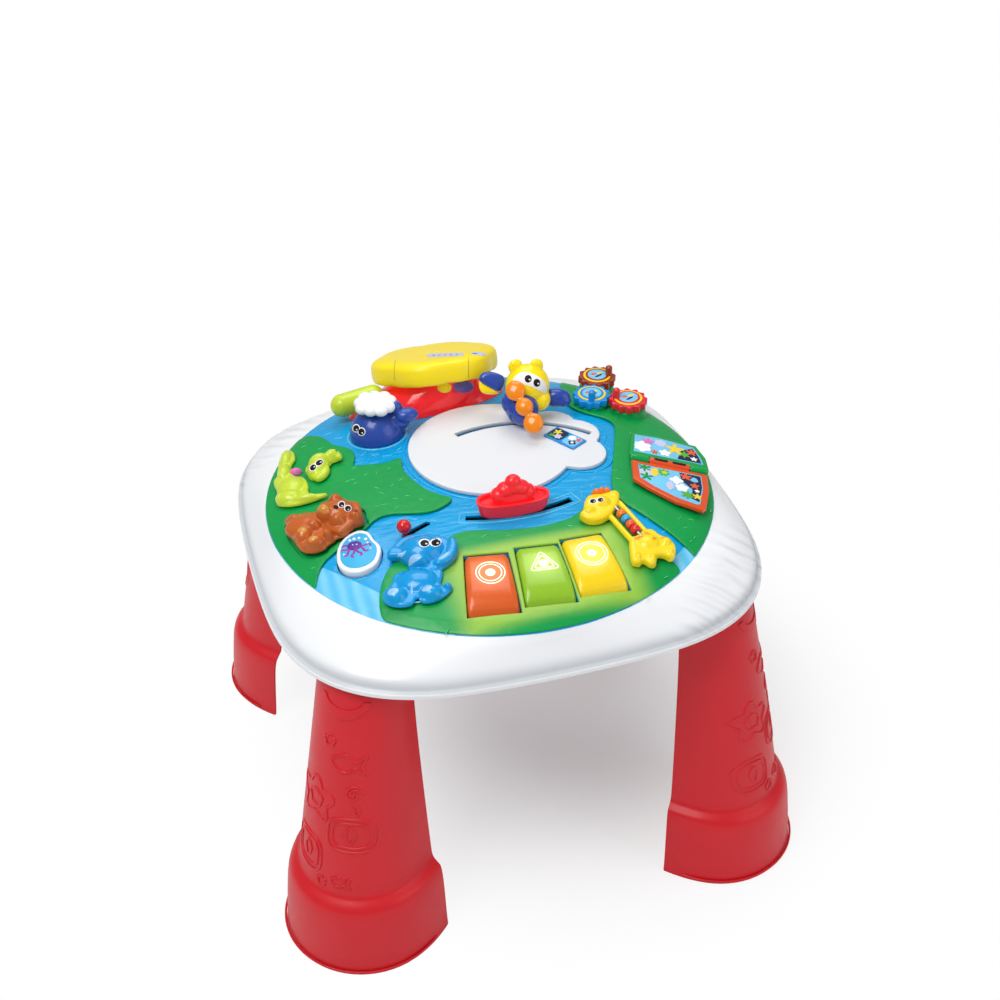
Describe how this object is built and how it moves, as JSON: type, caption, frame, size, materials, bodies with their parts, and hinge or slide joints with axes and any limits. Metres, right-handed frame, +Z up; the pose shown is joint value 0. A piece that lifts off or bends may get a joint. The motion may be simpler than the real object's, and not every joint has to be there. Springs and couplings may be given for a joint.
{
  "type": "baby activity table",
  "caption": "Baby activity table: rounded top on round legs, domed play panel with keys, press figures, gears, turning cap, book, bead rod, boat and aeroplane on curved slots.",
  "frame": {"origin": "on the floor under the middle of the table", "axes": "+Z up; the keys, which face the child who sits in front, are towards -Y; +X is to the right of someone who looks along +Y"},
  "size_m": [0.5048, 0.5048, 0.4085],
  "materials": {
    "frame_white": "satin moulded plastic",
    "leg_red": "glossy moulded plastic",
    "cell_steel": "bare can",
    "board_green": "solder mask",
    "speaker_black": "matte",
    "switch_black": "matte",
    "river_blue": "glossy moulded plastic",
    "land_green": "glossy moulded plastic",
    "cloud_white": "glossy moulded plastic",
    "strip_blue": "printed strip",
    "key_orange": "translucent glossy plastic",
    "key_green": "translucent glossy plastic",
    "key_yellow": "translucent glossy plastic",
    "rubber_grey": "matte",
    "pad_rubber": "matte silicone",
    "elephant_blue": "glossy moulded plastic",
    "lever_red": "glossy",
    "bear_brown": "translucent glossy plastic",
    "badge_white": "glossy",
    "croc_lime": "glossy moulded plastic",
    "tongue_pink": "glossy",
    "giraffe_yellow": "glossy moulded plastic",
    "horn_orange": "glossy",
    "steel": "plain steel",
    "bead_blue": "glossy",
    "bead_coral": "glossy",
    "bead_red": "glossy",
    "boat_red": "glossy moulded plastic",
    "plane_yellow": "glossy moulded plastic",
    "plane_blue": "glossy moulded plastic",
    "propeller_orange": "glossy moulded plastic",
    "whale_blue": "glossy moulded plastic",
    "base_red": "translucent glossy plastic",
    "cap_yellow": "glossy moulded plastic",
    "gear_blue": "glossy moulded plastic",
    "gear_brown": "glossy moulded plastic",
    "gear_red": "glossy moulded plastic",
    "book_orange": "glossy moulded plastic"
  },
  "bodies": {
    "table": {"table_frame": "frame_white", "leg_front_left": "leg_red", "leg_front_right": "leg_red", "leg_back_left": "leg_red", "leg_back_right": "leg_red", "lower_tray": "frame_white", "battery_door": "frame_white", "battery_cell_1": "cell_steel", "battery_cell_2": "cell_steel", "battery_cell_3": "cell_steel", "circuit_board": "board_green", "speaker": "speaker_black", "river_panel": "river_blue", "meadow_left": "land_green", "meadow_front": "land_green", "meadow_right": "land_green", "pond_plate": "cloud_white", "cloud_window": "strip_blue", "key_carrier": "rubber_grey", "key_rubber_pad": "pad_rubber", "elephant_figure": "elephant_blue", "crocodile_body": "croc_lime", "crocodile_tongue": "tongue_pink", "giraffe_figure": "giraffe_yellow", "giraffe_horns": "horn_orange", "bead_rod": "steel", "whale_body": "whale_blue", "stage_base": "base_red", "cap_spindle": "steel", "lime_handle": "croc_lime", "book_pin": "steel", "book_cover": "land_green"},
    "power": {"power_switch": "switch_black"},
    "orange_key": {"key_orange": "key_orange"},
    "green_key": {"key_green": "key_green"},
    "yellow_key": {"key_yellow": "key_yellow"},
    "lever": {"elephant_lever": "lever_red"},
    "bear": {"bear_button": "bear_brown"},
    "badge": {"badge_button": "badge_white"},
    "jaw": {"crocodile_jaw": "croc_lime"},
    "orange_bead": {"bead_orange": "horn_orange"},
    "blue_bead": {"bead_blue": "bead_blue"},
    "coral_bead": {"bead_coral": "bead_coral"},
    "red_bead": {"bead_red": "bead_red"},
    "boat": {"boat_hull": "boat_red", "boat_cabin": "boat_red", "boat_slider": "boat_red"},
    "plane": {"plane_body": "plane_yellow", "plane_belly": "plane_blue", "plane_wing_left": "plane_blue", "plane_wing_right": "plane_blue", "plane_slider": "plane_blue"},
    "propeller": {"plane_propeller": "propeller_orange"},
    "spout": {"whale_spout": "cloud_white"},
    "cap": {"turn_cap": "cap_yellow"},
    "blue_gear": {"gear_blue": "gear_blue"},
    "brown_gear": {"gear_brown": "gear_brown"},
    "red_gear": {"gear_red": "gear_red"},
    "page": {"book_page": "book_orange"}
  },
  "joints": [
    {"name": "power_slide", "type": "slide", "parent": "table", "child": "power", "axis": [0, 1, 0], "range_m": [0, 0.0048]},
    {"name": "orange_key_hinge", "type": "hinge", "parent": "table", "child": "orange_key", "pos_m": [-0.03914, -0.12543, 0.3265], "axis": [0.9848, -0.1736, 0], "range_deg": [0, 3], "stiffness_Nm_per_rad": 0.15, "springref_deg": -17.19},
    {"name": "green_key_hinge", "type": "hinge", "parent": "table", "child": "green_key", "pos_m": [0.00593, -0.12715, 0.3265], "axis": [0.9945, -0.1045, 0], "range_deg": [0, 3], "stiffness_Nm_per_rad": 0.15, "springref_deg": -17.19},
    {"name": "yellow_key_hinge", "type": "hinge", "parent": "table", "child": "yellow_key", "pos_m": [0.048, -0.125, 0.3265], "axis": [1, 0, 0], "range_deg": [0, 3], "stiffness_Nm_per_rad": 0.15, "springref_deg": -17.19},
    {"name": "lever_slide", "type": "slide", "parent": "table", "child": "lever", "axis": [0.9159, 0.3982, 0.0505], "range_m": [0, 0.024]},
    {"name": "bear_press", "type": "slide", "parent": "table", "child": "bear", "axis": [0.1765, 0.0276, -0.9839], "range_m": [0, 0.0025], "stiffness_N_per_m": 400, "springref_m": -0.004},
    {"name": "badge_press", "type": "slide", "parent": "table", "child": "badge", "axis": [0.1505, 0.0828, -0.9851], "range_m": [0, 0.0025], "stiffness_N_per_m": 400, "springref_m": -0.004},
    {"name": "jaw_hinge", "type": "hinge", "parent": "table", "child": "jaw", "pos_m": [-0.15649, 0.05277, 0.33731], "axis": [-0.2184, 0.0715, 0.9732], "range_deg": [-6, 14]},
    {"name": "orange_bead_spin", "type": "hinge", "parent": "table", "child": "orange_bead", "pos_m": [0.09053, -0.10492, 0.35115], "axis": [0.2216, -0.9666, -0.1287], "continuous": true},
    {"name": "blue_bead_spin", "type": "hinge", "parent": "table", "child": "blue_bead", "pos_m": [0.0922, -0.11222, 0.35018], "axis": [0.2216, -0.9666, -0.1287], "continuous": true},
    {"name": "coral_bead_spin", "type": "hinge", "parent": "table", "child": "coral_bead", "pos_m": [0.09381, -0.11925, 0.34924], "axis": [0.2216, -0.9666, -0.1287], "continuous": true},
    {"name": "red_bead_spin", "type": "hinge", "parent": "table", "child": "red_bead", "pos_m": [0.09542, -0.12628, 0.34831], "axis": [0.2216, -0.9666, -0.1287], "continuous": true},
    {"name": "boat_swing", "type": "hinge", "parent": "table", "child": "boat", "pos_m": [0.0095, 0.091, 0.345], "axis": [0, 0, 1], "range_deg": [-14, 14]},
    {"name": "plane_swing", "type": "hinge", "parent": "table", "child": "plane", "pos_m": [0.024, -0.045, 0.345], "axis": [0, 0, 1], "range_deg": [-27, 28]},
    {"name": "propeller_spin", "type": "hinge", "parent": "plane", "child": "propeller", "pos_m": [0.047, 0.051, 0.378], "axis": [-0.3311, -0.6622, 0.6722], "continuous": true},
    {"name": "spout_spin", "type": "hinge", "parent": "table", "child": "spout", "pos_m": [-0.084, 0.1, 0.3775], "axis": [0, 0, 1], "continuous": true},
    {"name": "cap_spin", "type": "hinge", "parent": "table", "child": "cap", "pos_m": [-0.008, 0.169, 0.37], "axis": [0, 0.3518, 0.9361], "continuous": true},
    {"name": "blue_gear_spin", "type": "hinge", "parent": "table", "child": "blue_gear", "pos_m": [0.134, 0.095, 0.347], "axis": [0, 0, 1], "continuous": true},
    {"name": "brown_gear_spin", "type": "hinge", "parent": "table", "child": "brown_gear", "pos_m": [0.15118, 0.12732, 0.347], "axis": [0, 0, 1], "continuous": true},
    {"name": "red_gear_spin", "type": "hinge", "parent": "table", "child": "red_gear", "pos_m": [0.1657, 0.0767, 0.347], "axis": [0, 0, 1], "continuous": true},
    {"name": "page_hinge", "type": "hinge", "parent": "table", "child": "page", "pos_m": [0.16437, -0.03529, 0.34381], "axis": [-0.9141, 0.3572, 0.1919], "range_deg": [0, 160]}
  ],
  "couplings": [
    {"joint": "brown_gear_spin", "follows": "blue_gear_spin", "ratio": -1},
    {"joint": "red_gear_spin", "follows": "blue_gear_spin", "ratio": -1}
  ]
}
